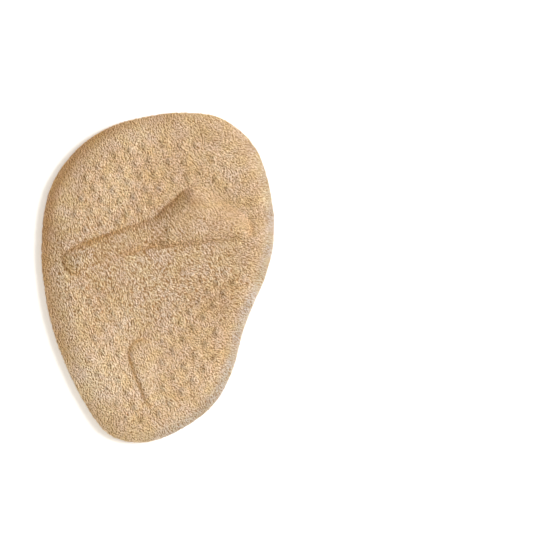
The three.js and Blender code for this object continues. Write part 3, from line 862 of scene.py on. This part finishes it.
# Lighter and darker patches of pile: rows of x, y, radius in millimetres and amount. Several of the darker
# ones, on and beside the raised forms and at the left rim, are painted shade.
toneAndShadeSpots = [
    (-0.20, -0.30, 18, 0.8), (-0.22, 0.22, 14, 0.35), (-0.36, -0.30, 12, 0.4), (0.10, 0.13, 9, -0.25),
    (0.14, 0.20, 9, -0.3), (0.065, 0.19, 6, -0.6), (0.30, 0.175, 8, -0.45), (-0.05, 0.12, 8, -0.3),
    (-0.24, 0.08, 8, -0.4), (-0.40, -0.14, 10, 0.4), (-0.08, 0.44, 12, 0.35), (0.44, 0.06, 10, -0.3),
    (0.25, -0.08, 13, -0.7), (-0.17, -0.12, 11, 0.55), (0.15, 0.23, 5, -0.9), (0.01, 0.14, 6, -0.6),
    (-0.06, 0.01, 8, 0.5), (0.24, 0.44, 8, -0.4), (-0.46, 0.15, 6, -0.6), (0.20, 0.33, 7, -0.3),
]

# Painted light and shade on the rim's pile: a greyer tint on the side that faces the light and a dark tint on
# the side turned from it, each most where it faces that way
rimLightAndShadeSides = {
    "paintedLitSide": {"facing": math.radians(-25), "width": 4.6 * mm, "amount": 1.6},
    "paintedShadeSide": {"facing": math.radians(150), "width": 5.5 * mm, "amount": -1.4},
}


def paintedRimLightAndShade(rings):
    # The painted light, above 0, or painted shade, below 0, of the pile at each point of the rings and at the
    # pole
    outline = filledBox(closedSpline(padOutline, len(rings[0][0])))
    inset = np.concatenate([np.linalg.norm(ring[:, :2] - outline, axis=1) for ring, cloth in rings])
    shade = np.zeros(len(inset))
    for tones in rimLightAndShadeSides.values():
        facing = -inwardOf(outline) @ np.array([math.cos(tones["facing"]), math.sin(tones["facing"])])
        fall = 1 - smoothStep(inset / tones["width"])
        shade += tones["amount"] * np.tile(facing.clip(0) ** 2, len(rings)) * fall
    return np.append(shade, 0)


def giveAttribute(piece, name, values):
    attribute = piece.data.attributes.new(name, "FLOAT", "POINT")
    attribute.data.foreach_set("value", np.asarray(values, dtype=np.float32))


sheetSteps = {"around": 800, "rows": {"hem": 4, "under": 6, "roll": 16, "plain": 150}}


def makeSheet():
    # The cloth's outer face as an open sheet, which carries the pile
    rings = padRings(body["pileDepth"], sheetSteps["around"], sheetSteps["rows"], nubbed=True)
    sheet = ringMesh("clothSheet", rings, high=topPole(body["pileDepth"]))
    places = np.empty(len(sheet.data.vertices) * 3)
    sheet.data.vertices.foreach_get("co", places)
    places = places.reshape(-1, 3)
    flats = places[:, :2]
    tight = np.max(spotFades(flats, tightSpots), axis=0)
    nubLift, nubFoot = nubRelief(flats)
    # Lighter and darker patches of pile, some of them painted shade, and a painted highlight on the nubs'
    # tops
    toneAndShade = sum(spotFades(flats, toneAndShadeSpots)) + nubs["paintedTopHighlight"] * nubLift / nubs["height"]
    giveAttribute(sheet, "tight", tight)
    giveAttribute(sheet, "parted", np.max(spotFades(flats, partedSpots), axis=0))
    giveAttribute(sheet, "toneAndShade", toneAndShade - pile["tightTone"] * tight)
    # Painted light on the rim's lit side and painted shade on its shaded side
    giveAttribute(sheet, "rimLightAndShade", paintedRimLightAndShade(rings))
    # Painted shade in the creases and round the nubs' feet
    giveAttribute(sheet, "creaseAndFootShade", np.maximum(relief(flats)[2], nubs["paintedFootShade"] * nubFoot))
    giveAttribute(sheet, "grown", places[:, 2] > pile["lowest"])
    return sheet


coverSteps = {
    "around": 520,
    "outside": {"hem": 4, "under": 5, "roll": 12, "plain": 100},
    "inside": {"hem": 2, "under": 3, "roll": 6, "plain": 16},
}


def makeCover():
    around = coverSteps["around"]
    outside = padRings(body["pileDepth"], around, coverSteps["outside"], nubbed=True)
    inside = padRings(body["clothThickness"], around, coverSteps["inside"])
    cover = ringMesh("terryCover", inside[::-1] + outside, low=topPole(body["clothThickness"]),
                     high=topPole(body["pileDepth"]))
    cover.data.materials.append(groundMaterial())
    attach(cover, "root")
    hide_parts("cloth_cover")


cushionSteps = {
    "around": 260, "rows": {"hem": 2, "under": 3, "roll": 6, "plain": 36}, "baseShares": (0.25, 0.5, 0.75),
}


def makeCushion():
    around = cushionSteps["around"]
    deep = body["clothThickness"] + body["gap"]
    underside = body["hemLift"] + deep
    rings = padRings(deep, around, cushionSteps["rows"])
    edge, cloth = rings[0]
    base = [(np.column_stack([edge[:, :2] * share, np.full(around, underside)]), cloth * share)
            for share in cushionSteps["baseShares"]]
    cushion = ringMesh("gelCushion", base + rings, low=np.array([0, 0, underside]), high=topPole(deep))
    cushion.data.materials.append(gelMaterial("softGel", gelLook["soft"], gelLook["softRoughness"]))
    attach(cushion, "root")
    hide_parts("gel_cushion")


gripSteps = {
    "around": 260, "edgeRound": 0.35 * mm, "edgeSteps": 4, "faceShares": (0.2, 0.4, 0.6, 0.8, 0.97),
}


def makeGrip():
    outline = filledBox(closedSpline(padOutline, gripSteps["around"]))
    inward = inwardOf(outline)
    start = body["hemWidth"] + body["gap"]
    soft = gripSteps["edgeRound"]
    quarter = np.linspace(0, math.pi / 2, gripSteps["edgeSteps"])
    profile = [(start + soft * (1 - math.sin(t)), gripLow.z + soft * (1 - math.cos(t))) for t in quarter]
    profile += [(start + soft * (1 - math.cos(t)), gripHigh.z - soft * (1 - math.sin(t))) for t in quarter]
    edge = [(outline + inward * across, height) for across, height in profile]
    shares = gripSteps["faceShares"]
    levels = [(edge[0][0] * share, gripLow.z) for share in shares] + edge
    levels += [(edge[-1][0] * share, gripHigh.z) for share in shares[::-1]]
    rings = [(np.column_stack([flat, np.full(len(flat), height)]), flat) for flat, height in levels]
    grip = ringMesh("gripSheet", rings, low=np.array([0, 0, gripLow.z]), high=np.array([0, 0, gripHigh.z]))
    grip.data.materials.append(gelMaterial("tackyGel", gelLook["tacky"], gelLook["tackyRoughness"]))
    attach(grip, "root")
    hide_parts("grip_sheet")


makeGrip()
makeCushion()
makeCover()
print("pad: cover, cushion and grip sheet made")
clothSheet = makeSheet()
makePile(clothSheet, yarnMaterial())
bpy.data.objects.remove(clothSheet)
print("pad: pile made")
